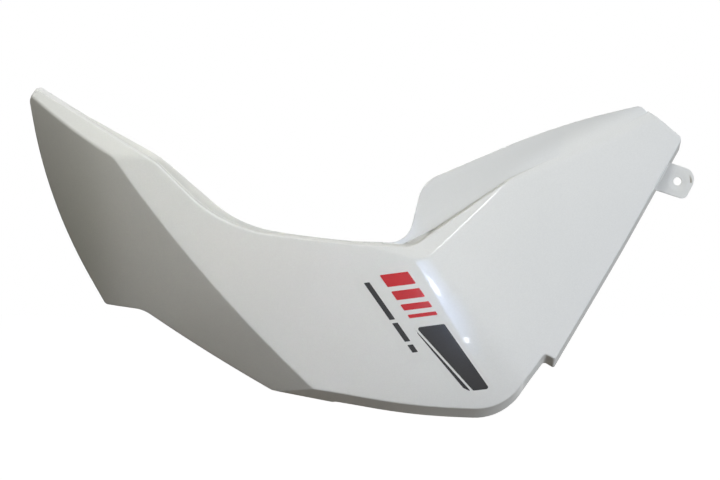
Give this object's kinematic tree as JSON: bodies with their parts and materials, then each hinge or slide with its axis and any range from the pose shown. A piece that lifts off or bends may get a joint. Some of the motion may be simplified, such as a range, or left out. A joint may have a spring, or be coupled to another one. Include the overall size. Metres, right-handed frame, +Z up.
{
  "type": "motorcycle side fairing panel",
  "caption": "Moulded side panel for a motorcycle: a crowned, folded skin with a swept front wing, a raised tail ledge, a return flange, a screw tab and inner grommet pins.",
  "frame": {"origin": "middle of the screw tab's hole, halfway through the tab", "axes": "+X to the rear of the machine, +Y inwards to the machine, +Z up; the screw leaves along -Y"},
  "size_m": [0.514, 0.075, 0.2535],
  "materials": {
    "painted_skin": "pearl white paint under clear lacquer on moulded ABS"
  },
  "bodies": {
    "root": {"fairing_panel": "painted_skin"}
  },
  "joints": []
}
